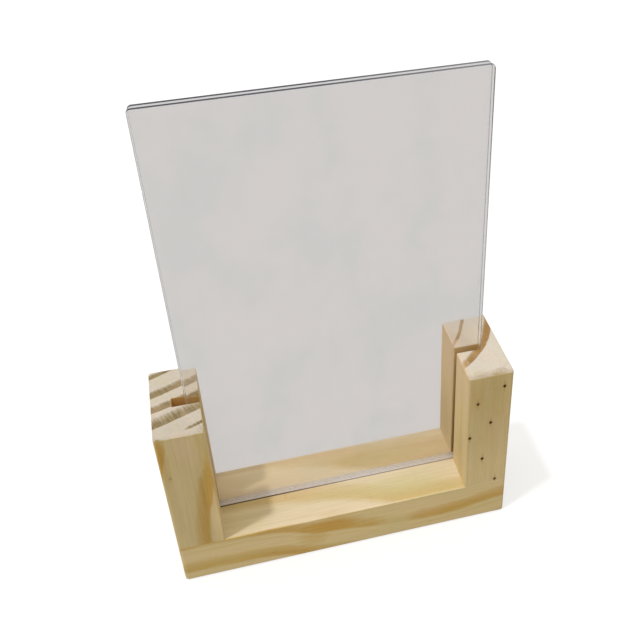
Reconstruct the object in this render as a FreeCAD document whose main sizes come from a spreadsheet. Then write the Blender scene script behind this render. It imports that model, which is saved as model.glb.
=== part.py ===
import FreeCAD, Part
import os
import Sketcher

# Photo block holder. A pine base carries a grooved post on each end, and two clear sheets stand
# in the grooves with room for a photograph between them. Four wood screws come up through the
# base into the posts. The sheets lift straight up out of the grooves.
# The origin is the middle of the base's underside, +X to the right, +Y to the back, +Z up.
# All sizes are in millimetres.

doc = FreeCAD.newDocument("PhotoBlockHolder")
SAME = 1e-4  # two places closer than this count as one

# Driving sizes: alias, value and what it is
DRIVING = [
    ("sheetWidth", 150.0, "front sheet, along X"),
    ("sheetHeight", 234.0, "both sheets, along Z"),
    ("sheetThickness", 2.0, "both sheets, along Y"),
    ("backSheetTrim", 1.0, "how much narrower the back sheet is cut"),
    ("sheetCornerRadius", 1.9, "rounded corners of the sheets"),
    ("sheetEdgeBreak", 0.25, "ground bevel along the sheets' edges"),
    ("photoGap", 1.2, "slot between the sheets, for the photograph"),
    ("sheetPlay", 0.4, "clearance before and behind the pair of sheets in the groove"),
    ("sidePlay", 7.0, "how far the sheets can shift sideways between the groove ends"),
    ("sheetEndGap", 0.3, "rest clearance between the sheets and the right groove's end"),
    ("holderDepth", 48.0, "base and posts, along Y"),
    ("baseHeight", 26.0, "base, along Z"),
    ("postWidth", 23.5, "post, along X"),
    ("postHeight", 79.0, "post, along Z"),
    ("grooveDepth", 13.5, "how deep the groove is cut into the post, along X"),
    ("outerCornerRadius", 1.6, "upright outer corners of base and posts"),
    ("innerCornerRadius", 0.5, "upright corners of the posts towards the sheets"),
    ("bottomRadius", 1.3, "lower edges of the base"),
    ("postTopRadius", 0.4, "top edges of the posts"),
    ("seamBreak", 0.2, "bevel of the edges that meet where a post stands on the base"),
    ("grooveBreak", 0.3, "bevel along the groove's edges"),
    ("screwSpacing", 27.0, "from one screw of a post to the other, along Y"),
    ("screwLength", 45.0, "screw, over all"),
    ("screwHeadDiameter", 8.0, "countersunk head"),
    ("screwHeadRim", 0.4, "straight rim of the head"),
    ("screwHeadSink", 0.6, "how deep the head lies inside the base's underside"),
    ("screwShankDiameter", 2.9, "smooth shank"),
    ("screwShankEnd", 23.0, "from the head's face to the end of the smooth shank"),
    ("screwCoreDiameter", 2.5, "core of the threaded length"),
    ("screwTipLength", 4.5, "pointed end"),
    ("threadDiameter", 4.0, "over the thread"),
    ("threadFoot", 0.9, "width of the thread where it leaves the core"),
    ("threadRoot", 0.15, "how far the thread's foot reaches into the core"),
    ("threadPitch", 1.8, "advance per turn"),
    ("recessWidth", 4.4, "driver's cross, over its arms"),
    ("recessArm", 1.1, "one arm of the cross"),
    ("recessDepth", 1.9, "how deep the cross goes"),
    ("boreClearance", 0.5, "bore in the base, over the thread"),
    ("headClearance", 0.1, "countersink, outside the head's cone"),
    ("pilotDiameter", 3.1, "hole in the post, which the thread bites into"),
    ("pilotExtra", 1.5, "free length of the pilot hole past the screw's point"),
    ("overrun", 2.0, "how far a cut runs past the face that it opens"),
]

# Sizes that follow from the driving ones
DERIVED = [
    ("grooveWidth", "2 * sheetThickness + photoGap + 2 * sheetPlay"),
    ("holderLength", "sheetWidth + sidePlay + 2 * (postWidth - grooveDepth)"),
    ("halfLength", "holderLength / 2"),
    ("halfDepth", "holderDepth / 2"),
    ("halfPost", "postWidth / 2"),
    ("postMiddle", "halfLength - halfPost"),
    ("grooveEnd", "grooveDepth - halfPost"),
    ("grooveMouth", "halfPost + overrun"),
    ("halfGroove", "grooveWidth / 2"),
    ("sheetMiddle", "postMiddle + grooveEnd - sheetEndGap - sheetWidth / 2"),
    ("sheetOffset", "(photoGap + sheetThickness) / 2"),
    ("halfFrontSheet", "sheetWidth / 2"),
    ("halfBackSheet", "(sheetWidth - backSheetTrim) / 2"),
    ("halfSpacing", "screwSpacing / 2"),
    ("headRadius", "screwHeadDiameter / 2"),
    ("shankRadius", "screwShankDiameter / 2"),
    ("coreRadius", "screwCoreDiameter / 2"),
    ("headNeck", "screwHeadRim + headRadius - shankRadius"),
    ("coreStart", "screwShankEnd + shankRadius - coreRadius"),
    ("tipStart", "screwLength - screwTipLength"),
    ("threadInner", "coreRadius - threadRoot"),
    ("threadOuter", "threadDiameter / 2"),
    ("threadBottom", "coreStart"),
    ("threadCrest", "coreStart + threadFoot / 2"),
    ("threadTop", "coreStart + threadFoot"),
    ("threadHeight", "tipStart - threadTop"),
    ("halfRecess", "recessWidth / 2"),
    ("halfArm", "recessArm / 2"),
    ("boreDiameter", "threadDiameter + boreClearance"),
    ("countersinkDiameter", "screwHeadDiameter + 2 * (screwHeadSink + screwHeadRim + headClearance)"),
    ("pilotDepth", "screwHeadSink + screwLength - baseHeight + pilotExtra"),
]

sheet = doc.addObject("Spreadsheet::Sheet", "Sizes")
for row, (alias, value, note) in enumerate(DRIVING, start=1):
    sheet.set(f"A{row}", note)
    sheet.set(f"B{row}", str(value))
    sheet.setAlias(f"B{row}", alias)
for row, (alias, formula) in enumerate(DERIVED, start=len(DRIVING) + 1):
    sheet.set(f"B{row}", f"={formula}")
    sheet.setAlias(f"B{row}", alias)
doc.recompute()


def size(alias):
    """The value of one cell, with a minus sign before the alias turning it round."""
    sign = -1 if alias.startswith("-") else 1
    return sign * float(getattr(sheet, alias.lstrip("-")))


def cell(alias):
    """The same as an expression that a document object can be bound to."""
    return alias.replace("-", "-Sizes.") if alias.startswith("-") else f"Sizes.{alias}"


# Sketches and features

def new_body(label):
    body = doc.addObject("PartDesign::Body", label)
    body.Label = label
    return body


def new_sketch(body, name, plane):
    sketch = body.newObject("Sketcher::SketchObject", name)
    support = next(f for f in body.Origin.OriginFeatures if f.Role == plane)
    sketch.AttachmentSupport = [(support, "")]
    sketch.MapMode = "FlatFace"
    return sketch


def pin_point(sketch, geometry, point, across, along):
    """Ties a point of a sketch to two cells. None puts it on that axis of the sketch."""
    for kind, alias, axis in (("DistanceX", across, -2), ("DistanceY", along, -1)):
        if alias is None:
            sketch.addConstraint(Sketcher.Constraint("PointOnObject", geometry, point, axis))
        else:
            constraint = Sketcher.Constraint(kind, -1, 1, geometry, point, size(alias))
            index = sketch.addConstraint(constraint)
            sketch.setExpression(f"Constraints[{index}]", cell(alias))


def outline(sketch, corners):
    """Straight lines round the corners, each corner two aliases."""
    points = []
    for across, along in corners:
        u = 0 if across is None else size(across)
        v = 0 if along is None else size(along)
        points.append(FreeCAD.Vector(u, v, 0))
    first = sketch.GeometryCount
    for k, start in enumerate(points):
        sketch.addGeometry(Part.LineSegment(start, points[(k + 1) % len(points)]), False)
    for k, (across, along) in enumerate(corners):
        after = first + (k + 1) % len(corners)
        sketch.addConstraint(Sketcher.Constraint("Coincident", first + k, 2, after, 1))
        pin_point(sketch, first + k, 1, across, along)


def box_outline(sketch, left, right, low, high):
    outline(sketch, [(left, low), (right, low), (right, high), (left, high)])


def hole_circles(sketch, diameter, across=None):
    """Two circles, one screw spacing apart along Y."""
    for along in ("-halfSpacing", "halfSpacing"):
        centre = FreeCAD.Vector(0 if across is None else size(across), size(along), 0)
        circle = Part.Circle(centre, FreeCAD.Vector(0, 0, 1), size(diameter) / 2)
        geometry = sketch.addGeometry(circle, False)
        pin_point(sketch, geometry, 3, across, along)
        index = sketch.addConstraint(Sketcher.Constraint("Diameter", geometry, size(diameter)))
        sketch.setExpression(f"Constraints[{index}]", cell(diameter))


def add_feature(body, kind, name, sketch, **formulas):
    """A feature on a sketch, its sizes bound to cells."""
    feature = body.newObject(f"PartDesign::{kind}", name)
    feature.Profile = sketch
    for prop, alias in formulas.items():
        feature.setExpression(prop, cell(alias))
    return feature


def cut_volume(body, feature):
    """Recomputes and stops if a cut took nothing away."""
    before = feature.BaseFeature.Shape.Volume
    doc.recompute()
    if feature.Shape.Volume > before - SAME:
        raise RuntimeError(f"{feature.Name} cuts nothing")


def dress(body, kind, name, prop, alias, wanted):
    """A Fillet or Chamfer on those edges of the body so far for which wanted(edge) holds."""
    doc.recompute()
    base = body.Tip
    edges = [f"Edge{k}" for k, edge in enumerate(base.Shape.Edges, start=1) if wanted(edge)]
    if not edges:
        raise RuntimeError(f"{name} found no edges")
    feature = body.newObject(f"PartDesign::{kind}", name)
    feature.Base = (base, edges)
    feature.setExpression(prop, cell(alias))
    doc.recompute()
    return feature


def upright(edge):
    box = edge.BoundBox
    return box.XLength < SAME and box.YLength < SAME


def at_height(edge, z):
    box = edge.BoundBox
    return abs(box.ZMin - z) < SAME and abs(box.ZMax - z) < SAME


def place(body, across, along, up, half_turn=False):
    """Moves a body, its place bound to cells, and turns it half round about Z if asked."""
    body.Placement.Rotation = FreeCAD.Rotation(FreeCAD.Vector(0, 0, 1), 180 if half_turn else 0)
    for axis, alias in (("x", across), ("y", along), ("z", up)):
        if alias is not None:
            body.setExpression(f"Placement.Base.{axis}", cell(alias))


# Base: one plank with eased edges and four countersunk bores from below

def make_base():
    body = new_body("base_rail")
    plan = new_sketch(body, "BasePlan", "XY_Plane")
    box_outline(plan, "-halfLength", "halfLength", "-halfDepth", "halfDepth")
    add_feature(body, "Pad", "BasePlank", plan, Length="baseHeight")
    dress(body, "Fillet", "BaseCorners", "Radius", "outerCornerRadius", upright)
    dress(body, "Fillet", "BaseUnderEdge", "Radius", "bottomRadius", lambda e: at_height(e, 0))
    top = size("baseHeight")
    dress(body, "Chamfer", "BaseSeamEdge", "Size", "seamBreak", lambda e: at_height(e, top))
    for name, side in (("LeftBores", "-postMiddle"), ("RightBores", "postMiddle")):
        plan = new_sketch(body, f"{name}Plan", "XY_Plane")
        hole_circles(plan, "boreDiameter", side)
        doc.recompute()
        bores = add_feature(body, "Hole", name, plan)
        bores.Reversed = True
        bores.DepthType = "ThroughAll"
        bores.HoleCutType = "Countersink"
        bores.HoleCutCustomValues = True
        bores.HoleCutCountersinkAngle = 90
        bores.setExpression("Diameter", cell("boreDiameter"))
        bores.setExpression("HoleCutDiameter", cell("countersinkDiameter"))
        cut_volume(body, bores)
    return body


# Posts: two alike, each with a groove down its inner face and pilot holes in its end grain

def make_post(label, across, half_turn):
    body = new_body(label)
    plan = new_sketch(body, f"{label}_plan", "XY_Plane")
    box_outline(plan, "-halfPost", "halfPost", "-halfDepth", "halfDepth")
    add_feature(body, "Pad", f"{label}_block", plan, Length="postHeight")

    def outer(edge):
        return upright(edge) and edge.BoundBox.XMax < 0

    def inner(edge):
        return upright(edge) and abs(edge.BoundBox.XMax - size("halfPost")) < SAME

    dress(body, "Fillet", f"{label}_outer_corners", "Radius", "outerCornerRadius", outer)
    dress(body, "Fillet", f"{label}_inner_corners", "Radius", "innerCornerRadius", inner)
    top = size("postHeight")
    dress(body, "Fillet", f"{label}_top", "Radius", "postTopRadius", lambda e: at_height(e, top))
    dress(body, "Chamfer", f"{label}_seam", "Size", "seamBreak", lambda e: at_height(e, 0))

    groove_plan = new_sketch(body, f"{label}_groove_plan", "XY_Plane")
    box_outline(groove_plan, "-grooveEnd", "grooveMouth", "-halfGroove", "halfGroove")
    groove = add_feature(body, "Pocket", f"{label}_groove", groove_plan)
    groove.Type = "ThroughAll"
    groove.Reversed = True
    cut_volume(body, groove)

    def groove_edge(edge):
        box = edge.BoundBox
        within = max(abs(box.YMin), abs(box.YMax)) < size("halfGroove") + SAME
        mouth = upright(edge) and abs(box.XMin - size("halfPost")) < SAME
        return within and (mouth or at_height(edge, top))

    dress(body, "Chamfer", f"{label}_groove_edges", "Size", "grooveBreak", groove_edge)

    pilot_plan = new_sketch(body, f"{label}_pilot_plan", "XY_Plane")
    hole_circles(pilot_plan, "pilotDiameter")
    doc.recompute()
    pilots = add_feature(body, "Hole", f"{label}_pilots", pilot_plan)
    pilots.Reversed = True
    pilots.DepthType = "Dimension"
    pilots.setExpression("Diameter", cell("pilotDiameter"))
    pilots.setExpression("Depth", cell("pilotDepth"))
    cut_volume(body, pilots)
    place(body, across, None, "baseHeight", half_turn)
    return body


# Sheets: flat, clear, with rounded corners and ground edges

def make_sheet(label, half_width, along):
    body = new_body(label)
    face = new_sketch(body, f"{label}_face", "XZ_Plane")
    outline(face, [(f"-{half_width}", None), (half_width, None),
                   (half_width, "sheetHeight"), (f"-{half_width}", "sheetHeight")])
    plate = add_feature(body, "Pad", f"{label}_plate", face, Length="sheetThickness")
    plate.SideType = "Symmetric"

    def corner(edge):
        box = edge.BoundBox
        return box.XLength < SAME and box.ZLength < SAME

    dress(body, "Fillet", f"{label}_corners", "Radius", "sheetCornerRadius", corner)
    rim = size("sheetThickness") / 2
    dress(body, "Chamfer", f"{label}_edges", "Size", "sheetEdgeBreak",
          lambda e: e.BoundBox.YLength < SAME and abs(abs(e.BoundBox.YMin) - rim) < SAME)
    place(body, "sheetMiddle", along, "baseHeight")
    return body


# Screws: countersunk wood screws that stand on their heads, point up

def make_screw(label, across, along):
    body = new_body(label)
    profile = new_sketch(body, f"{label}_profile", "XZ_Plane")
    outline(profile, [
        (None, None),
        ("headRadius", None),
        ("headRadius", "screwHeadRim"),
        ("shankRadius", "headNeck"),
        ("shankRadius", "screwShankEnd"),
        ("coreRadius", "coreStart"),
        ("coreRadius", "tipStart"),
        (None, "screwLength"),
    ])
    turned = body.newObject("PartDesign::Revolution", f"{label}_turned")
    turned.Profile = profile
    turned.ReferenceAxis = (profile, ["V_Axis"])
    doc.recompute()

    tooth = new_sketch(body, f"{label}_tooth", "XZ_Plane")
    outline(tooth, [("threadInner", "threadBottom"), ("threadOuter", "threadCrest"),
                    ("threadInner", "threadTop")])
    thread = body.newObject("PartDesign::AdditiveHelix", f"{label}_thread")
    thread.Profile = tooth
    thread.ReferenceAxis = (tooth, ["V_Axis"])
    thread.Mode = "pitch-height-angle"
    thread.setExpression("Pitch", cell("threadPitch"))
    thread.setExpression("Height", cell("threadHeight"))
    doc.recompute()

    cross = new_sketch(body, f"{label}_cross", "XY_Plane")
    outline(cross, [
        ("-halfRecess", "-halfArm"), ("-halfArm", "-halfArm"), ("-halfArm", "-halfRecess"),
        ("halfArm", "-halfRecess"), ("halfArm", "-halfArm"), ("halfRecess", "-halfArm"),
        ("halfRecess", "halfArm"), ("halfArm", "halfArm"), ("halfArm", "halfRecess"),
        ("-halfArm", "halfRecess"), ("-halfArm", "halfArm"), ("-halfRecess", "halfArm"),
    ])
    recess = add_feature(body, "Pocket", f"{label}_recess", cross, Length="recessDepth")
    recess.Reversed = True
    cut_volume(body, recess)
    place(body, across, along, "screwHeadSink")
    return body


nodes = [
    make_base(),
    make_post("left_post", "-postMiddle", False),
    make_post("right_post", "postMiddle", True),
    make_sheet("front_sheet", "halfFrontSheet", "-sheetOffset"),
    make_sheet("back_sheet", "halfBackSheet", "sheetOffset"),
]
for side, across in (("left", "-postMiddle"), ("right", "postMiddle")):
    for row, along in (("front", "-halfSpacing"), ("back", "halfSpacing")):
        nodes.append(make_screw(f"screw_{side}_{row}", across, along))
doc.recompute()

# Every object and every finished solid is sound before anything is written

for item in doc.Objects:
    if "Invalid" in item.State or "Error" in item.State:
        raise RuntimeError(f"{item.Name}: {item.State}")
for node in nodes:
    solid = node.Shape
    if solid.isNull() or not solid.isValid() or len(solid.Solids) != 1:
        raise RuntimeError(f"{node.Label} is not one valid solid")
    low, high = solid.BoundBox, solid.Volume
    print(f"{node.Label:20s} volume {high:10.1f}  X {low.XMin:7.2f} {low.XMax:7.2f}"
          f"  Y {low.YMin:7.2f} {low.YMax:7.2f}  Z {low.ZMin:7.2f} {low.ZMax:7.2f}")

os.makedirs("parts", exist_ok=True)
for node in nodes:
    node.Shape.exportStep(f"parts/{node.Label}.step")
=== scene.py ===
import math

import bpy
from mathutils import Matrix, Vector


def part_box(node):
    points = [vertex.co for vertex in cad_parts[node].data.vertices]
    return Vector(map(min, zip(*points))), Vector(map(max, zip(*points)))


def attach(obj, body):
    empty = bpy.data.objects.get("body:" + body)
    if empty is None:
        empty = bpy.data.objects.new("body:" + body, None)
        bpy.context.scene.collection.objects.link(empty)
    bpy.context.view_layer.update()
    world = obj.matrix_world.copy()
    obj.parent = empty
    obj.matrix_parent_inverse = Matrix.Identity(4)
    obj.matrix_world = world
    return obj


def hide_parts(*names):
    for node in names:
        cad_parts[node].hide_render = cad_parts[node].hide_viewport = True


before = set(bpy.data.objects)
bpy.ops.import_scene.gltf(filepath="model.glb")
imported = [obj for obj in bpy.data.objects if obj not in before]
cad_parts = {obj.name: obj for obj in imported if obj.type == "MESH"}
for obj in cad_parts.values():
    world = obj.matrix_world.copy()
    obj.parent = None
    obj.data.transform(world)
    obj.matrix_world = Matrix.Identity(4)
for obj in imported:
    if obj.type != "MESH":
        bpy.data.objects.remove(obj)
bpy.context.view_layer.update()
mm = 0.001
print("frame loaded:", ", ".join(sorted(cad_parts)))


# small helpers for node trees

def feed(tree, socket, value):
    if isinstance(value, bpy.types.NodeSocket):
        tree.links.new(value, socket)
    else:
        socket.default_value = value


def addNode(tree, kind, inputs=None, **settings):
    made = tree.nodes.new(kind)
    for name, value in settings.items():
        setattr(made, name, value)
    for name, value in (inputs or {}).items():
        feed(tree, made.inputs[name], value)
    return made


def calc(tree, operation, *values, clamp=False):
    made = addNode(tree, "ShaderNodeMath", operation=operation, use_clamp=clamp)
    for socket, value in zip(made.inputs, values):
        feed(tree, socket, value)
    return made.outputs[0]


def vectorCalc(tree, operation, *values):
    made = addNode(tree, "ShaderNodeVectorMath", operation=operation)
    sockets = (made.inputs[0], made.inputs["Scale"]) if operation == "SCALE" else made.inputs
    for socket, value in zip(sockets, values):
        feed(tree, socket, value)
    return made.outputs["Value" if operation in ("LENGTH", "DOT_PRODUCT") else "Vector"]


def remap(tree, value, low, high, toLow=0.0, toHigh=1.0):
    made = addNode(tree, "ShaderNodeMapRange", {
        "Value": value, "From Min": low, "From Max": high, "To Min": toLow, "To Max": toHigh})
    return made.outputs["Result"]


def noise(tree, place, size, detail=2.0, roughness=0.5):
    # size is that of one blotch along each axis, in the units of place
    scaled = vectorCalc(tree, "DIVIDE", place, size)
    made = addNode(tree, "ShaderNodeTexNoise", {
        "Vector": scaled, "Scale": 1.0, "Detail": detail, "Roughness": roughness})
    return made.outputs["Fac"]


def blend(tree, share, first, second, mode="MIX"):
    made = addNode(tree, "ShaderNodeMix", data_type="RGBA", blend_type=mode)
    feed(tree, made.inputs[0], share)
    feed(tree, made.inputs[6], first)
    feed(tree, made.inputs[7], second)
    return made.outputs[2]


def mixShader(tree, share, first, second):
    made = addNode(tree, "ShaderNodeMixShader", {0: share})
    tree.links.new(first.outputs[0], made.inputs[1])
    tree.links.new(second.outputs[0], made.inputs[2])
    return made


def newMaterial(name):
    material = bpy.data.materials.new(name)
    material.use_nodes = True
    material.node_tree.nodes.clear()
    return material, material.node_tree


def endTree(tree, shader, kind="ShaderNodeOutputMaterial"):
    end = addNode(tree, kind)
    tree.links.new(shader.outputs[0], end.inputs["Surface"])


def pointInMm(tree):
    # the point on the piece in mm, whole and as X, Y and Z
    place = addNode(tree, "ShaderNodeTexCoord").outputs["Object"]
    place = vectorCalc(tree, "DIVIDE", place, (mm, mm, mm))
    return place, addNode(tree, "ShaderNodeSeparateXYZ", {0: place}).outputs


def surfaceFacing(tree):
    # which way the surface faces, as X, Y and Z
    normal = addNode(tree, "ShaderNodeTexCoord").outputs["Normal"]
    return addNode(tree, "ShaderNodeSeparateXYZ", {0: normal}).outputs


def dress(node, material):
    # a CAD node keeps its mesh and takes a better material
    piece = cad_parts[node]
    for place in piece.material_slots:
        place.material = material


# studio: a pale floor, soft daylight from all round and one lamp from the upper left

studio = {
    "floorSize": 8.0,
    "floorGap": 0.05 * mm,                   # the floor lies this much lower than the base
    "floorOpen": 0.4 * mm,                   # and lets light pass that starts nearer than this
    "floorColour": (0.42, 0.42, 0.42, 1),
    "floorLift": 0.62,                       # what the camera sees on top of the lit floor
    "throughSheets": 0.72,                   # the paper behind the sheets, a pale grey in the photo
    "inReflections": 0.30,
    "plainShare": 0.9,                       # how much of that is plain, without the shadows
    "skyColour": (1.0, 0.97, 0.90, 1),
    "skyAxis": (-0.34, -0.10, 0.935),
    "horizonStrength": 0.39,
    "zenithStrength": 0.91,
    "sideStrength": 1.1,                     # soft lights low at the left and right
    "sideFocus": 8,
    "lampColour": (0.97, 1.0, 1.10),
    "lampStrength": 1.12,
    "lampAngle": 3.5,
    "toLamp": (-0.323, -0.125, 0.938),
    "lampDistance": 2.0,
}


def seenPaper(tree):
    # how bright the paper is for the camera itself, and through a clear sheet or in a reflection
    rays = addNode(tree, "ShaderNodeLightPath").outputs
    through = calc(tree, "MULTIPLY", rays["Is Transmission Ray"], studio["throughSheets"])
    mirrored = calc(tree, "MULTIPLY", rays["Is Glossy Ray"], studio["inReflections"])
    return rays["Is Camera Ray"], calc(tree, "MAXIMUM", through, mirrored)


def makeFloor():
    half = studio["floorSize"] / 2
    low = -studio["floorGap"]
    corners = [(-half, -half, low), (half, -half, low), (half, half, low), (-half, half, low)]
    mesh = bpy.data.meshes.new("studioFloor")
    mesh.from_pydata(corners, [], [(0, 1, 2, 3)])
    floor = bpy.data.objects.new("studioFloor", mesh)
    bpy.context.scene.collection.objects.link(floor)

    material, tree = newMaterial("studioPaper")
    straight, indirect = seenPaper(tree)
    paper = addNode(tree, "ShaderNodeBsdfDiffuse", {"Color": studio["floorColour"]})
    lift = addNode(tree, "ShaderNodeEmission", {
        "Strength": calc(tree, "MULTIPLY", straight, studio["floorLift"])})
    lit = addNode(tree, "ShaderNodeAddShader")
    tree.links.new(paper.outputs[0], lit.inputs[0])
    tree.links.new(lift.outputs[0], lit.inputs[1])
    plain = addNode(tree, "ShaderNodeEmission", {"Strength": indirect})
    share = calc(tree, "MULTIPLY", calc(tree, "GREATER_THAN", indirect, 0.0), studio["plainShare"])
    shown = mixShader(tree, share, lit, plain)

    # open from beneath, also to light on its way to the underside that rests on it
    beneath = addNode(tree, "ShaderNodeBsdfTransparent")
    rayLength = addNode(tree, "ShaderNodeLightPath").outputs["Ray Length"]
    close = calc(tree, "LESS_THAN", rayLength, studio["floorOpen"])
    fromBelow = addNode(tree, "ShaderNodeNewGeometry").outputs["Backfacing"]
    endTree(tree, mixShader(tree, calc(tree, "MAXIMUM", close, fromBelow), shown, beneath))
    mesh.materials.append(material)


def makeSky():
    world = bpy.data.worlds.new("studioSky")
    world.use_nodes = True
    bpy.context.scene.world = world
    tree = world.node_tree
    tree.nodes.clear()
    # brighter overhead and to the left, as under a large soft light
    way = addNode(tree, "ShaderNodeTexCoord").outputs["Generated"]
    upward = vectorCalc(tree, "DOT_PRODUCT", way, studio["skyAxis"])
    glow = remap(tree, upward, 0, 1, studio["horizonStrength"], studio["zenithStrength"])
    sideways = calc(tree, "ABSOLUTE", vectorCalc(tree, "DOT_PRODUCT", way, (1, 0, 0)))
    sideways = calc(tree, "POWER", sideways, studio["sideFocus"])
    glow = calc(tree, "MULTIPLY_ADD", sideways, studio["sideStrength"], glow)

    seen = calc(tree, "MAXIMUM", *seenPaper(tree))
    shown = calc(tree, "GREATER_THAN", seen, 0.0)
    colour = blend(tree, shown, studio["skyColour"], (1, 1, 1, 1))
    hidden = calc(tree, "SUBTRACT", 1.0, shown)
    strength = calc(tree, "ADD", calc(tree, "MULTIPLY", hidden, glow), seen)
    sky = addNode(tree, "ShaderNodeBackground", {"Color": colour, "Strength": strength})
    endTree(tree, sky, "ShaderNodeOutputWorld")


def makeLamp():
    lamp = bpy.data.lights.new("studioLamp", "SUN")
    lamp.energy = studio["lampStrength"]
    lamp.color = studio["lampColour"]
    lamp.angle = math.radians(studio["lampAngle"])
    holder = bpy.data.objects.new("studioLamp", lamp)
    holder.rotation_mode = "QUATERNION"
    holder.rotation_quaternion = Vector(studio["toLamp"]).to_track_quat("Z", "Y")
    holder.location = Vector(studio["toLamp"]) * studio["lampDistance"]
    bpy.context.scene.collection.objects.link(holder)


# camera: looks down on the holder from the front, a little from the left

cameraView = {
    "place": (-50.36 * mm, -331.96 * mm, 412.41 * mm),
    "yaw": -13.60,
    "pitchDown": 35.85,
    "roll": -1.37,
    "lens": 50.84,
    "shift": (-0.1036, -0.0866),
}


def makeCamera():
    data = bpy.data.cameras.new("photoCamera")
    data.lens = cameraView["lens"]
    data.shift_x, data.shift_y = cameraView["shift"]
    camera = bpy.data.objects.new("photoCamera", data)
    turn = (Matrix.Rotation(math.radians(cameraView["yaw"]), 4, "Z")
            @ Matrix.Rotation(math.radians(90 - cameraView["pitchDown"]), 4, "X")
            @ Matrix.Rotation(math.radians(cameraView["roll"]), 4, "Z"))
    camera.matrix_world = Matrix.Translation(cameraView["place"]) @ turn
    bpy.context.scene.collection.objects.link(camera)
    bpy.context.scene.camera = camera


makeFloor()
makeSky()
makeLamp()
makeCamera()
print("studio and camera ready")


# pine: growth rings round a pith that lies outside the piece, late wood with a sharp outer side,
# fibres along the grain, resin dashes, and fine rays on the end grain. Lengths are in mm, and the
# third number of a size runs along the grain.

pine = {
    "early": (0.750, 0.580, 0.290, 1),
    "earlyPaintedLitTop": (0.780, 0.650, 0.430, 1),
    # painted light: a paler early wood for faces that look up, as if lit from above
    "lateGolden": (0.610, 0.390, 0.095, 1),
    "lateOrange": (0.620, 0.330, 0.060, 1),
    "olive": (0.620, 0.540, 0.250, 1),
    "pink": (0.780, 0.580, 0.380, 1),
    # painted shade: the grooves' walls darken to this at their foot
    "grooveFoot": (0.260, 0.110, 0.012, 1),
    "resin": (0.360, 0.200, 0.070, 1),
    "pinKnot": (0.075, 0.028, 0.006, 1),
    "pinHalo": (0.420, 0.230, 0.080, 1),
    "wander": 0.8,                           # how far the rings stray from their line in slow bends
    "wanderSize": (16, 16, 70),
    "waves": 0.30,                           # and in small waves
    "waveSize": (2.2, 2.2, 26),
    "patchSize": (9, 9, 45),                 # patches where the late wood is weaker
    "hueSize": (11, 11, 60),                 # patches of another hue
    "fray": 7.0,                             # how far the stains' sides follow the fibres
    "fraySize": (3, 3, 30),
    "raySize": (0.46, 8, 4),
    "rayBite": 0.48,                         # how much late wood a ray takes away
    "rayLightness": 0.74,                    # and how weak the rest is
    "lateOnEnds": 1.7,                       # late wood is stronger on the end grain
    "lateOnSides": 0.25,                     # and weaker on the posts' left and right faces
    "fibreSize": (0.28, 0.28, 9),
    "fibreContrast": 0.055,
    "streakSize": (1.1, 1.1, 40),
    "streakContrast": 0.05,
    "dashSize": (0.42, 0.42, 5.5),           # resin canals, only where the noise is above these limits
    "dashLimits": (0.73, 0.77),
    "knotSize": (0.8, 2, 1.05),
    "haloSizes": ((0.8, 2, 5), (1.6, 2, 1.9)),   # a pin knot's streak and the ring round it
    "haloShare": 0.6,
    "grooveHalf": 3.3,                       # a little more than half the width of the posts' grooves
    "grooveReach": 78.8,                     # a little past their ends, from the holder's middle
    "grooveHeights": (26, 98),               # where the painted shade on their walls turns from dark to pale
    "sawMarkSize": (0.9, 30, 0.5),
    "sawRoughness": 0.2,
    "relief": 0.08 * mm,
    "gloss": 0.18,
}

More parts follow.
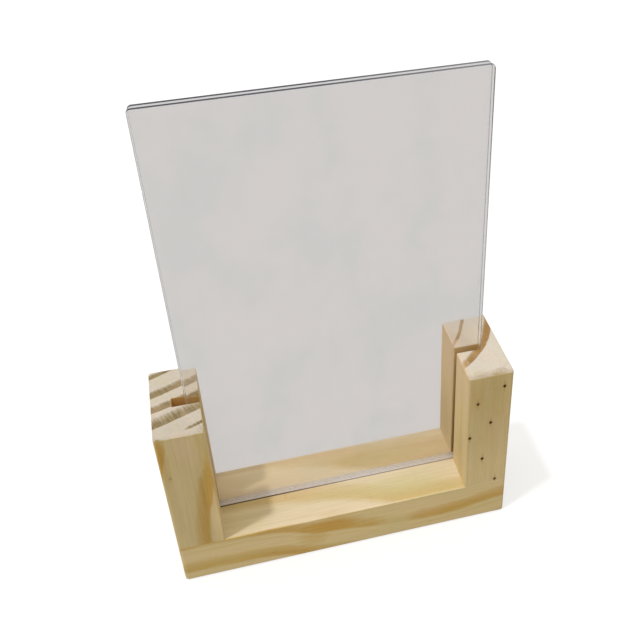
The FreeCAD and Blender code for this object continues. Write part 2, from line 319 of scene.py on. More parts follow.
# Places are on the holder, in mm.
# Figures: the pith, how far the late wood takes to end on its outer side, the rings (distance from the
# pith to that side, width, how dark), and the drift of the rings along the grain (place, shift).
# Stains: place, half sizes, more late wood, more orange, then pink (above 0) or olive (below 0).
# Shades: painted light and shade in patches: place, half sizes, how much lighter (above 0) or darker (below
# 0).
basePine = {
    "grain": "X",
    "figures": (
        {"pith": (100.0, 170.0), "outer": 1.5,
         "rings": ((190.8, 6.8, 0.92), (193.9, 1.0, 0.25), (205.3, 6.6, 1.00)),
         "drift": ((-88, -0.2), (-75, 0.2), (-60, -0.2), (-50, -0.5), (-40, -1.4), (-25, -5.0),
                   (-15, -7.3), (0, -8.9), (10, -10.5), (20, -11.7), (30, -12.5), (45, -12.9),
                   (60, -12.5), (75, -10.5), (88, -8.9))},
        {"pith": (100.0, 170.0), "outer": 2.6,
         "rings": ((168.0, 12.0, 0.76), (182.6, 7.0, 0.62), (199.0, 4.5, 0.80), (209.5, 4.0, 0.90)),
         "drift": ((-65, 5.0), (-35.5, 3.1), (-20, 1.6), (-4.3, 0.0), (4.3, -1.6), (17.3, -4.4),
                   (30.3, -7.2), (50, -8.0), (65, -8.5))},
    ),
    "layer": (-23.8, -23.1),                 # the first figure ends here, and the second goes on behind it
    "stains": (
        ((-8, -24, 20), (16, 5, 6.5), 0.60, 0.9, 0.0),
        ((-19, -24, 12), (9, 5, 8), 0.40, 0.0, -0.4),
        ((27, -24, 12), (12, 5, 9), -0.50, 0.0, -0.6),
        ((72, -24, 13), (26, 5, 6), 0.15, 0.1, -0.3),
        ((45, -18, 26), (30, 9, 4), 0.18, -0.8, -0.7),
        ((-8, -17, 26), (26, 7, 4), 0.0, 0.0, 0.6),
        # painted shade colour: more late wood and olive where the lamp's shadow falls at the left end, so
        # the shadow reads yellower
        ((-60, -12, 26), (26, 14, 4), 0.15, -0.5, -0.6),
        ((40, 14, 26), (50, 14, 4), 0.10, -0.6, -0.5),
        ((-30, 15, 26), (34, 12, 4), -0.25, 0.0, -0.4),
        ((15, -12, 26), (44, 9, 4), 0.0, -0.8, -0.7),
    ),
    "shades": (
        # painted light and shade: the front face lighter, a strip behind the sheets darker, and the lamp's
        # shadow at the left end lighter, in front of the sheets and behind them
        ((0, -24, 13), (140, 2.5, 22), 0.08),
        ((45, 15, 26), (60, 14, 4), -0.10),
        ((-50, 15, 26), (34, 12, 4), 0.05),
        ((-62, 14, 26), (20, 12, 4), 0.07),
        ((-60, -12, 26), (18, 13, 4), 0.07),
    ),
    "endEarly": (0.720, 0.570, 0.340, 1),
    "endLate": (0.480, 0.300, 0.110, 1),
    "rayStrength": 0.6,
    "orange": (0.0, 0.35),
    "pinKnots": (),
}
leftPine = {
    "grain": "Z",
    "figures": (
        {"pith": (-150.75, 186.0), "outer": 0.3,
         "rings": ((178.5, 3.4, 1.00), (191.9, 5.4, 1.05), (201.9, 5.0, 1.15), (211.4, 7.4, 0.84),
                   (220.5, 2.2, 0.95), (229.7, 2.9, 1.00)),
         "drift": ((26, 5.1), (45, 4.5), (55, 3.9), (72, 2.8), (82, 1.7), (105, 0.0))},
    ),
    "stains": (
        ((-78.5, -22, 105), (8, 5.5, 12), -1.1, 0.0, 0.2),
        ((-67, -24, 70), (6, 6, 20), 0.42, -0.1, 0.0),
        ((-88, -24, 90), (5, 6, 18), 0.50, 0.2, 0.0),
        ((-66, -24, 97), (4.5, 8, 14), 0.35, -0.6, -0.4),
        ((-75, -24, 97), (8, 5, 14), 0.0, 0.0, 0.8),
        ((-86, -24, 68), (3, 5, 22), 0.12, -0.5, -0.5),
    ),
    "shades": (
        # painted shade and light: the top and the front face darker, a stripe at the front's right side
        # lighter
        ((-76, -18, 105), (14, 9, 4), -0.06),
        ((-78, -24, 62), (26, 3, 90), -0.11),
        ((-66, -24, 55), (5, 3, 44), 0.15),
    ),
    # painted shade: the grooves' walls at their top, darker than the faces
    "groove": (0.620, 0.350, 0.105, 1),
    "endEarly": (0.615, 0.545, 0.445, 1),
    "endLate": (0.220, 0.152, 0.054, 1),
    "rayStrength": 0.8,
    "orange": (0.12, 0.55),
    "pinKnots": (((-84.4, -24.0, 78.7), 0.22),),
}
rightPine = {
    "grain": "Z",
    "figures": (
        {"pith": (35.0, 35.0), "outer": 0.3,
         "rings": ((29.5, 3.0, 0.50), (43.1, 1.9, 1.00), (58.5, 4.6, 1.00), (74.0, 2.4, 0.10)),
         "drift": ((26, -1.5), (105, 0.0))},
    ),
    "stains": (
        ((81.5, -24, 97), (4, 5, 24), 0.16, -0.9, -0.4),
        ((70, -24, 92), (3.5, 5, 14), 0.14, 0.4, 0.3),
        # painted shade: more late wood over the front face, darker and yellower towards its top
        ((76, -25, 105), (24, 6, 60), 0.26, -0.2, 0.0),
        ((65, 15, 36), (6, 14, 30), 0.60, 0.2, 0.0),
        ((65, 0, 98), (4, 34, 26), 0.0, 0.0, 1.1),
    ),
    "shades": (
        # painted shade: the front face, the back of the top and the inner face darker
        ((76, -25, 92), (26, 4, 56), -0.12),
        ((70, 15, 105), (15, 14, 4), -0.11),
        ((65, 15, 42), (4, 14, 34), -0.16),
        ((65, -14, 42), (4, 12, 24), -0.08),
    ),
    # painted shade: the grooves' walls at their top, darker than the faces
    "groove": (0.720, 0.470, 0.180, 1),
    "endEarly": (0.690, 0.620, 0.515, 1),
    "endLate": (0.360, 0.200, 0.060, 1),
    "rayStrength": 0.25,
    "orange": (0.1, 0.6),
    "pinKnots": (
        ((83.75, -24.0, 96.5), 1.0),
        ((70.0, -24.0, 87.3), 0.9),
        ((77.5, -24.0, 72.4), 1.0),
        ((66.5, -24.0, 63.6), 1.0),
        ((74.0, -24.0, 46.2), 1.0),
        ((82.0, -24.0, 28.0), 0.9),
    ),
}


def turnToGrain(tree, cut, axes):
    # the point in mm, turned so that its third number runs along the grain
    order = {"X": "YZX", "Z": "XYZ"}[cut["grain"]]
    turned = addNode(tree, "ShaderNodeCombineXYZ")
    for socket, axis in zip(turned.inputs, order):
        tree.links.new(axes[axis], socket)
    return turned.outputs[0]


def driftCurve(tree, along, drift):
    # how far the rings shift as they run along the piece, drawn through the given points
    places = [p for p, shift in drift]
    shifts = [shift for p, shift in drift]
    low, high = min(shifts), max(shifts)
    curve = addNode(tree, "ShaderNodeFloatCurve", {"Value": remap(tree, along, places[0], places[-1])})
    line = curve.mapping.curves[0]
    shares = [((p - places[0]) / (places[-1] - places[0]), (shift - low) / (high - low))
              for p, shift in drift]
    for point, share in zip((line.points[0], line.points[-1]), (shares[0], shares[-1])):
        point.location = share
    for share in shares[1:-1]:
        line.points.new(*share)
    curve.mapping.update()
    return remap(tree, curve.outputs[0], 0, 1, low, high)


def lateWood(tree, radius, rings, outer):
    # 1 at the dark outer side of each ring's late wood, fading to 0 on its inner side
    first = rings[0][0] - rings[0][1] - 4
    last = rings[-1][0] + 6
    ramp = addNode(tree, "ShaderNodeValToRGB", {0: remap(tree, radius, first, last)})
    stops = ramp.color_ramp.elements
    for edge, width, depth in rings:
        rise = ((edge - width, 0.0), (edge - 0.75 * width, 0.55), (edge - 0.35 * width, 0.95),
                (edge - 0.3 * outer, 1.0), (edge + 0.7 * outer, 0.0))
        for place, level in rise:
            stop = stops.new((place - first) / (last - first))
            stop.color = (level * depth,) * 3 + (1,)
    for stop in (stops[0], stops[-1]):
        stop.color = (0, 0, 0, 1)
    return ramp.outputs["Color"]


def ringFigure(tree, grain, along, figure, stray):
    # the late wood of one set of rings, and the place round the pith that the end grain's rays follow
    across = vectorCalc(tree, "SUBTRACT", grain, (*figure["pith"], 0.0))
    across = vectorCalc(tree, "MULTIPLY", across, (1, 1, 0))
    radius = vectorCalc(tree, "LENGTH", across)
    radius = calc(tree, "ADD", radius, driftCurve(tree, along, figure["drift"]))
    radius = calc(tree, "ADD", radius, stray)
    flat = addNode(tree, "ShaderNodeSeparateXYZ", {0: across}).outputs
    turn = calc(tree, "ARCTAN2", flat["Y"], flat["X"])
    turn = calc(tree, "MULTIPLY", turn, figure["rings"][-1][0])
    rayPlace = addNode(tree, "ShaderNodeCombineXYZ", {0: turn, 1: radius, 2: along})
    return lateWood(tree, radius, figure["rings"], figure["outer"]), rayPlace.outputs[0]


def growthRings(tree, cut, axes, grain):
    # the rings stray slowly and in small waves
    bends = remap(tree, noise(tree, grain, pine["wanderSize"], 1), 0, 1, -pine["wander"], pine["wander"])
    waves = remap(tree, noise(tree, grain, pine["waveSize"], 2), 0, 1, -pine["waves"], pine["waves"])
    stray = calc(tree, "ADD", bends, waves)
    along = axes[cut["grain"]]
    late, rayPlace = ringFigure(tree, grain, along, cut["figures"][0], stray)
    if "layer" in cut:
        deeper, rayPlace = ringFigure(tree, grain, along, cut["figures"][1], stray)
        depth = remap(tree, axes["Y"], *cut["layer"])
        front = calc(tree, "MULTIPLY", late, calc(tree, "SUBTRACT", 1.0, depth))
        late = calc(tree, "ADD", front, calc(tree, "MULTIPLY", deeper, depth))
    patches = remap(tree, noise(tree, grain, pine["patchSize"], 2), 0.3, 0.7, 0.8, 1.0)
    return calc(tree, "MULTIPLY", late, patches), rayPlace


def spot(tree, place, centre, sizes, edge, core):
    # 1 inside the core of a soft ellipsoid and 0 outside its edge, both as shares of its half sizes
    offset = vectorCalc(tree, "DIVIDE", vectorCalc(tree, "SUBTRACT", place, centre), sizes)
    return remap(tree, vectorCalc(tree, "LENGTH", offset), edge, core)


def addStains(tree, cut, place, grain, late):
    # stains drawn one by one, with soft sides that follow the fibres
    hue = noise(tree, grain, pine["hueSize"], 3)
    orange = remap(tree, hue, 0.62, 0.38, *cut["orange"])
    tint = remap(tree, hue, 0.66, 0.34, -0.35, 0.35)
    frayPlace = vectorCalc(tree, "DIVIDE", grain, pine["fraySize"])
    fray = addNode(tree, "ShaderNodeTexNoise", {"Vector": frayPlace, "Scale": 1.0}).outputs["Color"]
    fray = vectorCalc(tree, "SUBTRACT", fray, (0.5, 0.5, 0.5))
    frayed = vectorCalc(tree, "ADD", place, vectorCalc(tree, "SCALE", fray, pine["fray"]))
    for centre, sizes, moreLate, moreOrange, moreTint in cut["stains"]:
        share = spot(tree, frayed, centre, sizes, 1.15, 0.35)
        late = calc(tree, "MULTIPLY_ADD", share, moreLate, late, clamp=True)
        orange = calc(tree, "MULTIPLY_ADD", share, moreOrange, orange, clamp=True)
        tint = calc(tree, "MULTIPLY_ADD", share, moreTint, tint)
    return late, orange, tint


def breakByRays(tree, cut, rayPlace, facing, late):
    # on the end grain, where the surface faces along the grain, rays break the late wood up
    endGrain = remap(tree, calc(tree, "ABSOLUTE", facing[cut["grain"]]), 0.55, 0.8)
    if cut["grain"] == "Z":
        sideways = calc(tree, "ABSOLUTE", facing["X"])
        late = calc(tree, "MULTIPLY", late, remap(tree, sideways, 0.5, 0.9, 1, pine["lateOnSides"]))
    rays = remap(tree, noise(tree, rayPlace, pine["raySize"], 2, 0.7), 0.40, 0.62)
    rays = calc(tree, "MULTIPLY", rays, cut["rayStrength"])
    strong = calc(tree, "MULTIPLY", late, pine["lateOnEnds"])
    broken = calc(tree, "SUBTRACT", strong, calc(tree, "MULTIPLY", rays, pine["rayBite"]), clamp=True)
    broken = calc(tree, "MULTIPLY", broken, remap(tree, rays, 0, 1, 1.0, pine["rayLightness"]))
    late = calc(tree, "MULTIPLY_ADD", calc(tree, "SUBTRACT", broken, late), endGrain, late)
    return late, endGrain, calc(tree, "MULTIPLY", rays, endGrain)


def woodColour(tree, cut, place, facing, endGrain, late, orange, tint):
    # painted light: faces that look up take the paler early wood colour
    paintedTopLight = remap(tree, facing["Z"], 0.5, 0.8)
    early = blend(tree, paintedTopLight, pine["early"], pine["earlyPaintedLitTop"])
    early = blend(tree, endGrain, early, cut["endEarly"])
    dark = blend(tree, orange, pine["lateGolden"], pine["lateOrange"])
    dark = blend(tree, endGrain, dark, cut["endLate"])
    colour = blend(tree, late, early, dark)
    colour = blend(tree, calc(tree, "MULTIPLY", tint, -0.5, clamp=True), colour, pine["olive"])
    colour = blend(tree, calc(tree, "MULTIPLY", tint, 0.5, clamp=True), colour, pine["pink"])
    # painted light and shade: the shades lighten or darken the colour in patches
    paintedLightAndShade = 1.0
    for centre, sizes, lighter in cut["shades"]:
        paintedLightAndShade = calc(tree, "MULTIPLY_ADD", spot(tree, place, centre, sizes, 1.0, 0.3), lighter, paintedLightAndShade)
    return vectorCalc(tree, "SCALE", colour, paintedLightAndShade)


def addFibres(tree, grain, colour):
    # long and thin on the faces, dots on the end grain
    fibre = noise(tree, grain, pine["fibreSize"], 3, 0.6)
    streak = noise(tree, grain, pine["streakSize"], 2, 0.6)
    thin = remap(tree, fibre, 0.25, 0.75, -pine["fibreContrast"], pine["fibreContrast"])
    wide = remap(tree, streak, 0.25, 0.75, -pine["streakContrast"], pine["streakContrast"])
    shade = calc(tree, "ADD", thin, wide)
    shades = addNode(tree, "ShaderNodeCombineColor", {
        "Red": calc(tree, "ADD", 1.0, shade),
        "Green": calc(tree, "MULTIPLY_ADD", shade, 1.1, 1.0),
        "Blue": calc(tree, "MULTIPLY_ADD", shade, 1.35, 1.0)})
    return blend(tree, 1.0, colour, shades.outputs[0], "MULTIPLY"), fibre


def addResin(tree, grain, late, colour):
    # resin canals: short fine dashes in the late wood
    dash = remap(tree, noise(tree, grain, pine["dashSize"], 0), *pine["dashLimits"])
    resin = calc(tree, "MULTIPLY", dash, calc(tree, "MULTIPLY_ADD", late, 0.4, 0.08))
    return blend(tree, resin, colour, pine["resin"])


def addPinKnots(tree, cut, grain, colour):
    # a dark dot with a brown streak above and below
    knots = 0.0
    streakSize, ringSize = pine["haloSizes"]
    for centre, strength in cut["pinKnots"]:
        streak = spot(tree, grain, centre, streakSize, 1.0, 0.1)
        halo = calc(tree, "MAXIMUM", streak, spot(tree, grain, centre, ringSize, 1.0, 0.3))
        halo = calc(tree, "MULTIPLY", halo, pine["haloShare"] * strength)
        colour = blend(tree, halo, colour, pine["pinHalo"])
        dot = calc(tree, "MULTIPLY", strength, spot(tree, grain, centre, pine["knotSize"], 1.15, 0.75))
        knots = calc(tree, "MAXIMUM", knots, dot)
    return blend(tree, knots, colour, pine["pinKnot"]), knots


def addGroove(tree, cut, place, axes, facing, colour):
    # the posts' grooves: sawn and rougher than the planed faces, with painted shade that darkens their
    # walls, most at the foot
    within = calc(tree, "LESS_THAN", calc(tree, "ABSOLUTE", axes["Y"]), pine["grooveHalf"])
    reached = calc(tree, "LESS_THAN", calc(tree, "ABSOLUTE", axes["X"]), pine["grooveReach"])
    upright = remap(tree, calc(tree, "ABSOLUTE", facing["Z"]), 0.6, 0.3)
    inGroove = calc(tree, "MULTIPLY", calc(tree, "MULTIPLY", within, reached), upright)
    marks = remap(tree, noise(tree, place, pine["sawMarkSize"], 2), 0.3, 0.7, 0.75, 1.0)
    height = remap(tree, axes["Z"], *pine["grooveHeights"])
    shadedWall = blend(tree, height, pine["grooveFoot"], cut["groove"])
    return blend(tree, calc(tree, "MULTIPLY", inGroove, marks), colour, shadedWall), inGroove


def pineMaterial(name, cut):
    material, tree = newMaterial(name)
    place, axes = pointInMm(tree)
    facing = surfaceFacing(tree)
    grain = turnToGrain(tree, cut, axes)
    late, rayPlace = growthRings(tree, cut, axes, grain)
    late, orange, tint = addStains(tree, cut, place, grain, late)
    late, endGrain, endRays = breakByRays(tree, cut, rayPlace, facing, late)
    colour = woodColour(tree, cut, place, facing, endGrain, late, orange, tint)
    colour, fibre = addFibres(tree, grain, colour)
    colour = addResin(tree, grain, late, colour)
    colour, knots = addPinKnots(tree, cut, grain, colour)
    inGroove = 0.0
    if "groove" in cut:
        colour, inGroove = addGroove(tree, cut, place, axes, facing, colour)

    roughness = calc(tree, "MULTIPLY_ADD", late, -0.08, remap(tree, fibre, 0.3, 0.7, 0.50, 0.62))
    roughness = calc(tree, "MULTIPLY_ADD", inGroove, pine["sawRoughness"], roughness)
    height = calc(tree, "MULTIPLY_ADD", endRays, -0.5, fibre)
    height = calc(tree, "MULTIPLY_ADD", late, 0.5, height)
    bump = addNode(tree, "ShaderNodeBump", {
        "Strength": 0.35, "Distance": pine["relief"], "Height": height})
    wood = addNode(tree, "ShaderNodeBsdfPrincipled", {
        "Base Color": colour, "Roughness": roughness, "Normal": bump.outputs[0],
        "Specular IOR Level": calc(tree, "MULTIPLY_ADD", knots, -0.15, pine["gloss"])})
    endTree(tree, wood)
    return material


dress("base_rail", pineMaterial("pineBase", basePine))
dress("left_post", pineMaterial("pineLeftPost", leftPine))
dress("right_post", pineMaterial("pineRightPost", rightPine))
print("pine base and posts ready")


# clear sheets: polished faces and ground edges

sheetLook = {
    "tint": (0.985, 0.962, 0.950, 1),
    "smudge": (0.96, 0.965, 0.955, 1),
    # painted shade: the dark lines the edges show, darker at the top and the left, lighter towards the
    # right, and lighter on the front sheet's sides than on the back sheet's
    "topEdgeShade": (0.08, 0.08, 0.10, 1),
    "topEdgeShadeRight": (0.20, 0.20, 0.22, 1),
    "leftEdgeShade": (0.16, 0.16, 0.17, 1),
    "frontSideShade": (0.42, 0.42, 0.44, 1),
    "backSideShade": (0.17, 0.17, 0.18, 1),
    "sideNick": (0.05, 0.05, 0.06, 1),
    "bottomEdge": (0.88, 0.86, 0.92, 1),
    "dustAndPaintedFoot": (0.80, 0.79, 0.80, 1),
    "hazeAndPaintedFoot": (0.03, 0.07),
    "smudgeSize": (38, 38, 52),
    "foot": (0.85, 0.86, 0.97, 1),           # painted light: a pale band in the lowest 2 mm, for the light that the ground edge gathers
    "footHeights": (2.3, 1.9),               # this band begins and is full so far above the lower edge
    "footLine": (0.34, 0.30, 0.32, 1),       # painted contact shadow: a dark line at its foot, on the outer face
    # the painted shadow line is darker at the left, where the lamp's shadow falls
    "footLineLeft": (0.10, 0.06, 0.05, 1),
    "shadowLineHeights": (1.2, 1.0),
    "shadowLineRise": 0.25,                        # the painted shadow line is wider by this much at the left
    "shadowLineTurns": (5, -30),                   # where it turns from the one to the other
    "outerFace": 0.3,                        # how deep the painted shadow line on the outer face goes
    "heldFrom": (0.8, 0.2),                  # the grooves wipe the sheets' sides clean from so far
    "heldBelow": (19, 9),                    # inside their mouths, up to so far above the posts
    "throughLight": (0.96, 0.96, 0.96, 1),
    "ior": 1.49,
}


def edgeColour(tree, axes, facing, nicks):
    # sawn and ground edges with painted shade: dark from outside at the top, pale where they are seen
    # through the face
    backSheet = calc(tree, "GREATER_THAN", axes["Y"], 0.0)
    colour = blend(tree, backSheet, sheetLook["frontSideShade"], sheetLook["backSideShade"])
    nicked = calc(tree, "MULTIPLY", nicks, remap(tree, backSheet, 0, 1, 0.3, 1.0))
    colour = blend(tree, nicked, colour, sheetLook["sideNick"])
    colour = blend(tree, remap(tree, facing["X"], -0.4, -0.7), colour, sheetLook["leftEdgeShade"])
    rightward = remap(tree, axes["X"], 0, 70)
    topEdgeShade = blend(tree, rightward, sheetLook["topEdgeShade"], sheetLook["topEdgeShadeRight"])
    colour = blend(tree, remap(tree, facing["Z"], 0.4, 0.7), colour, topEdgeShade)
    return blend(tree, remap(tree, facing["Z"], -0.4, -0.7), colour, sheetLook["bottomEdge"])


def sheetMaterial(name):
    material, tree = newMaterial(name)
    place, axes = pointInMm(tree)
    facing = surfaceFacing(tree)
    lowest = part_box("front_sheet")[0]
    postMouth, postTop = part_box("right_post")[0][0] / mm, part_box("right_post")[1][2] / mm
    edge = remap(tree, calc(tree, "ABSOLUTE", facing["Y"]), 0.80, 0.45)
    smudge = remap(tree, noise(tree, place, sheetLook["smudgeSize"], 3), 0.45, 0.75)
    clear = addNode(tree, "ShaderNodeBsdfPrincipled", {
        "Base Color": blend(tree, smudge, sheetLook["tint"], sheetLook["smudge"]),
        "Roughness": remap(tree, smudge, 0, 1, 0.0, 0.02), "IOR": sheetLook["ior"],
        "Transmission Weight": 1.0})

    # the painted band of light and the painted shadow line along the foot of the faces
    grit = noise(tree, place, (0.25, 0.25, 0.25), 2)
    nicks = remap(tree, noise(tree, place, (2, 2, 2), 2), 0.50, 0.60)
    height = calc(tree, "SUBTRACT", axes["Z"], lowest[2] / mm)
    ragged = calc(tree, "ADD", height, calc(tree, "MULTIPLY", nicks, 0.4))
    foot = remap(tree, ragged, *sheetLook["footHeights"])
    leftward = remap(tree, axes["X"], *sheetLook["shadowLineTurns"])
    line = calc(tree, "SUBTRACT", height, calc(tree, "MULTIPLY", leftward, sheetLook["shadowLineRise"]))
    outside = calc(tree, "LESS_THAN", axes["Y"], lowest[1] / mm + sheetLook["outerFace"])
    line = calc(tree, "MULTIPLY", remap(tree, line, *sheetLook["shadowLineHeights"]), outside)
    dustAndPaintedFoot = blend(tree, foot, sheetLook["dustAndPaintedFoot"], sheetLook["foot"])
    shadowLineColour = blend(tree, leftward, sheetLook["footLine"], sheetLook["footLineLeft"])
    dustAndPaintedFoot = blend(tree, line, dustAndPaintedFoot, shadowLineColour)

    # dust, the painted light and shadow at the foot, and the ground edges are frosted
    bump = addNode(tree, "ShaderNodeBump", {"Strength": 0.5, "Distance": 0.05 * mm, "Height": grit})
    frosted = addNode(tree, "ShaderNodeBsdfPrincipled", {
        "Base Color": blend(tree, edge, dustAndPaintedFoot, edgeColour(tree, axes, facing, nicks)),
        "Roughness": remap(tree, grit, 0.3, 0.7, 0.4, 0.6), "Normal": bump.outputs[0]})
    hazeAndPaintedFoot = remap(tree, smudge, 0, 1, *sheetLook["hazeAndPaintedFoot"])
    toMouth = calc(tree, "SUBTRACT", postMouth, calc(tree, "ABSOLUTE", axes["X"]))
    overPosts = calc(tree, "SUBTRACT", axes["Z"], postTop)
    held = calc(tree, "MULTIPLY", remap(tree, toMouth, *sheetLook["heldFrom"]),
                remap(tree, overPosts, *sheetLook["heldBelow"]))
    hazeAndPaintedFoot = calc(tree, "MULTIPLY", hazeAndPaintedFoot, calc(tree, "SUBTRACT", 1.0, held))
    footHaze = calc(tree, "MULTIPLY", foot, remap(tree, grit, 0.35, 0.65, 0.70, 0.95))
    shadowLineShare = calc(tree, "MULTIPLY", line, remap(tree, leftward, 0, 1, 0.7, 0.9))
    hazeAndPaintedFoot = calc(tree, "MAXIMUM", hazeAndPaintedFoot, calc(tree, "MAXIMUM", footHaze, shadowLineShare))
    surface = mixShader(tree, calc(tree, "MAXIMUM", edge, hazeAndPaintedFoot), clear, frosted)

    # lamp light and scattered light pass straight through, so what stands behind is lit as the real one is
    passing = addNode(tree, "ShaderNodeBsdfTransparent", {"Color": sheetLook["throughLight"]})
    rays = addNode(tree, "ShaderNodeLightPath").outputs
    straight = calc(tree, "MAXIMUM", rays["Is Shadow Ray"], rays["Is Diffuse Ray"])
    endTree(tree, mixShader(tree, straight, surface, passing))
    return material


clearSheet = sheetMaterial("clearSheet")
dress("front_sheet", clearSheet)
dress("back_sheet", clearSheet)
print("clear sheets ready")


# screws: zinc plated steel, countersunk, with a driver's cross. Sizes in mm, heights from the head's
# face up to the point.

screwShape = {
    "Length": 45.0, "Head Radius": 4.0, "Rim": 0.4, "Shank Radius": 1.45, "Shank End": 23.0,
    "Core Radius": 1.25, "Tip Length": 4.5, "Thread Radius": 2.0, "Thread Pitch": 1.8,
    "Recess Radius": 2.2, "Recess Arm": 1.1, "Recess Depth": 1.9, "Point Radius": 0.05,
    "Shank Taper": 0.3,
}
screwLook = {
    "zinc": (0.66, 0.66, 0.64, 1),
    "dull": (0.50, 0.51, 0.52, 1),
    "recess": (0.22, 0.22, 0.22, 1),         # darker inside the cross
    "recessShows": (0.9, 1.6),               # it begins and is full at these heights above the floor,
    "recessEnds": (3.2, 2.6),                # and has gone at these
    "blotchSize": (1.4, 1.4, 1.4),
    "scratchSize": (0.15, 0.15, 1.5),
    "sharpAngle": 32,                        # edges steeper than this stay sharp
}


def screwMaterial(name):
    material, tree = newMaterial(name)
    place, axes = pointInMm(tree)
    cloud = noise(tree, place, screwLook["blotchSize"], 3)
    scratch = noise(tree, place, screwLook["scratchSize"], 2)
    colour = blend(tree, remap(tree, cloud, 0.35, 0.7), screwLook["zinc"], screwLook["dull"])
    inside = calc(tree, "MULTIPLY", remap(tree, axes["Z"], *screwLook["recessShows"]),
                  remap(tree, axes["Z"], *screwLook["recessEnds"]))
    colour = blend(tree, calc(tree, "MULTIPLY", inside, 0.6), colour, screwLook["recess"])
    roughness = calc(tree, "MULTIPLY_ADD", scratch, 0.1, remap(tree, cloud, 0.3, 0.7, 0.28, 0.42))
    bump = addNode(tree, "ShaderNodeBump", {"Strength": 0.2, "Distance": 0.02 * mm, "Height": scratch})
    steel = addNode(tree, "ShaderNodeBsdfPrincipled", {
        "Base Color": colour, "Roughness": roughness, "Metallic": 1.0, "Normal": bump.outputs[0]})
    endTree(tree, steel)
    return material


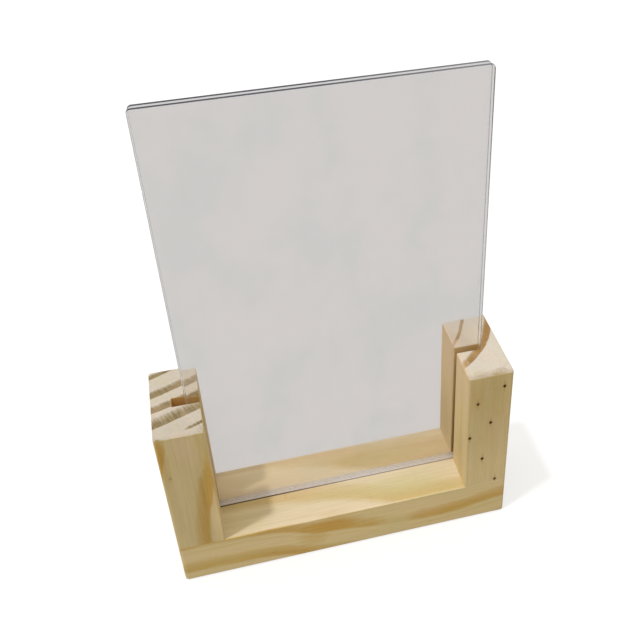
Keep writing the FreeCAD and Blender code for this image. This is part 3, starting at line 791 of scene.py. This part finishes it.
def screwTree(name, material):
    tree = bpy.data.node_groups.new(name, "GeometryNodeTree")
    tree.interface.new_socket("Seats", in_out="INPUT", socket_type="NodeSocketGeometry")
    for size in screwShape:
        tree.interface.new_socket(size, in_out="INPUT", socket_type="NodeSocketFloat")
    tree.interface.new_socket("Screws", in_out="OUTPUT", socket_type="NodeSocketGeometry")
    given = addNode(tree, "NodeGroupInput").outputs

    def plus(first, second):
        return calc(tree, "ADD", first, second)

    def byPoint(values):
        made = addNode(tree, "GeometryNodeIndexSwitch", data_type="FLOAT")
        while len(made.index_switch_items) < len(values):
            made.index_switch_items.new()
        tree.links.new(addNode(tree, "GeometryNodeInputIndex").outputs[0], made.inputs["Index"])
        for number, value in enumerate(values):
            feed(tree, made.inputs[str(number)], value)
        return made.outputs[0]

    # the blank: one turned solid from the head's face to the point, each step a height and a radius
    neck = plus(given["Rim"], calc(tree, "SUBTRACT", given["Head Radius"], given["Shank Radius"]))
    tipStart = calc(tree, "SUBTRACT", given["Length"], given["Tip Length"])
    taperEnd = plus(given["Shank End"], given["Shank Taper"])
    steps = ((0.0, given["Head Radius"]), (given["Rim"], given["Head Radius"]),
             (neck, given["Shank Radius"]), (given["Shank End"], given["Shank Radius"]),
             (taperEnd, given["Core Radius"]), (tipStart, given["Core Radius"]),
             (given["Length"], given["Point Radius"]))
    row = addNode(tree, "GeometryNodeMeshLine", {"Count": len(steps)})
    spine = addNode(tree, "GeometryNodeMeshToCurve", {0: row.outputs[0]})
    heights = byPoint([height for height, radius in steps])
    place = addNode(tree, "ShaderNodeCombineXYZ", {2: heights})
    spine = addNode(tree, "GeometryNodeSetPosition", {0: spine.outputs[0], "Position": place.outputs[0]})
    ring = addNode(tree, "GeometryNodeCurvePrimitiveCircle", {"Resolution": 48, "Radius": 1.0})
    blank = addNode(tree, "GeometryNodeCurveToMesh", {
        "Curve": spine.outputs[0], "Profile Curve": ring.outputs[0],
        "Scale": byPoint([radius for height, radius in steps]), "Fill Caps": True})

    # the driver's cross, cut into the head
    cross = addNode(tree, "GeometryNodeMeshBoolean", operation="DIFFERENCE", solver="EXACT")
    feed(tree, cross.inputs["Mesh 1"], blank.outputs[0])
    feed(tree, cross.inputs["Self Intersection"], True)
    wide = calc(tree, "MULTIPLY", given["Recess Radius"], 2.0)
    deep = calc(tree, "MULTIPLY", given["Recess Depth"], 2.0)
    for across, along in ((wide, given["Recess Arm"]), (given["Recess Arm"], wide)):
        size = addNode(tree, "ShaderNodeCombineXYZ", {0: across, 1: along, 2: deep})
        arm = addNode(tree, "GeometryNodeMeshCube", {"Size": size.outputs[0]})
        tree.links.new(arm.outputs["Mesh"], cross.inputs["Mesh 2"])

    # the thread: a helix that follows the core and closes in on the point
    start = plus(given["Shank End"], given["Thread Pitch"])
    run = calc(tree, "SUBTRACT", plus(tipStart, calc(tree, "MULTIPLY", given["Tip Length"], 0.55)), start)
    turns = calc(tree, "DIVIDE", run, given["Thread Pitch"])
    helix = addNode(tree, "GeometryNodeCurveSpiral", {
        "Resolution": 40, "Rotations": turns, "Start Radius": given["Core Radius"],
        "End Radius": given["Core Radius"], "Height": run})
    along = addNode(tree, "GeometryNodeSplineParameter").outputs["Factor"]
    runIn = remap(tree, along, 0.0, 0.06, 0.25, 1.0)
    runOut = remap(tree, along, 0.86, 1.0, 1.0, 0.15)
    # near the point the helix closes in as the core does
    where = addNode(tree, "GeometryNodeInputPosition").outputs[0]
    narrow = remap(tree, along, 0.86, 1.0, 1.0, 0.5)
    scale = addNode(tree, "ShaderNodeCombineXYZ", {0: narrow, 1: narrow, 2: 1.0})
    closed = addNode(tree, "GeometryNodeSetPosition", {
        "Geometry": helix.outputs[0], "Position": vectorCalc(tree, "MULTIPLY", where, scale.outputs[0])})
    tooth = addNode(tree, "GeometryNodeCurvePrimitiveCircle", {
        "Resolution": 3, "Radius": calc(tree, "SUBTRACT", given["Thread Radius"], given["Core Radius"])})
    thread = addNode(tree, "GeometryNodeCurveToMesh", {
        "Curve": closed.outputs[0], "Profile Curve": tooth.outputs[0],
        "Scale": calc(tree, "MULTIPLY", runIn, runOut), "Fill Caps": True})
    lift = addNode(tree, "ShaderNodeCombineXYZ", {2: start})
    thread = addNode(tree, "GeometryNodeTransform", {0: thread.outputs[0], "Translation": lift.outputs[0]})

    # one screw on every seat, each turned by its own angle
    whole = addNode(tree, "GeometryNodeJoinGeometry")
    tree.links.new(thread.outputs[0], whole.inputs[0])
    tree.links.new(cross.outputs[0], whole.inputs[0])
    angle = addNode(tree, "FunctionNodeRandomValue", {"Min": 0.0, "Max": 1.5, "Seed": 7}, data_type="FLOAT")
    spin = addNode(tree, "ShaderNodeCombineXYZ", {2: angle.outputs[1]})
    placed = addNode(tree, "GeometryNodeInstanceOnPoints", {
        "Points": given["Seats"], "Instance": whole.outputs[0], "Rotation": spin.outputs[0]})
    real = addNode(tree, "GeometryNodeRealizeInstances", {0: placed.outputs[0]})
    painted = addNode(tree, "GeometryNodeSetMaterial", {0: real.outputs[0], "Material": material})
    end = addNode(tree, "NodeGroupOutput")
    tree.links.new(painted.outputs[0], end.inputs[0])
    return tree


def makeScrews():
    names = [f"screw_{side}_{row}" for side in ("left", "right") for row in ("front", "back")]
    seats = []
    for name in names:
        low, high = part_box(name)
        seats.append(((low[0] + high[0]) / 2, (low[1] + high[1]) / 2, low[2]))
    mesh = bpy.data.meshes.new("screwSeats")
    mesh.from_pydata(seats, [], [])
    source = bpy.data.objects.new("screwSeats", mesh)
    bpy.context.scene.collection.objects.link(source)
    tree = screwTree("woodScrew", screwMaterial("zincScrew"))
    step = source.modifiers.new("woodScrew", "NODES")
    step.node_group = tree
    for item in tree.interface.items_tree:
        if item.in_out == "INPUT" and item.name in screwShape:
            step[item.identifier] = screwShape[item.name] * mm
    seen = source.evaluated_get(bpy.context.evaluated_depsgraph_get())
    shape = bpy.data.meshes.new_from_object(seen)
    shape.name = "woodScrews"
    bpy.data.objects.remove(source)
    shape.set_sharp_from_angle(angle=math.radians(screwLook["sharpAngle"]))
    screws = bpy.data.objects.new("woodScrews", shape)
    bpy.context.scene.collection.objects.link(screws)
    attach(screws, "holder")
    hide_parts(*names)
    print("screws:", len(shape.polygons), "faces")


makeScrews()


bpy.context.scene.view_settings.view_transform = "Standard"
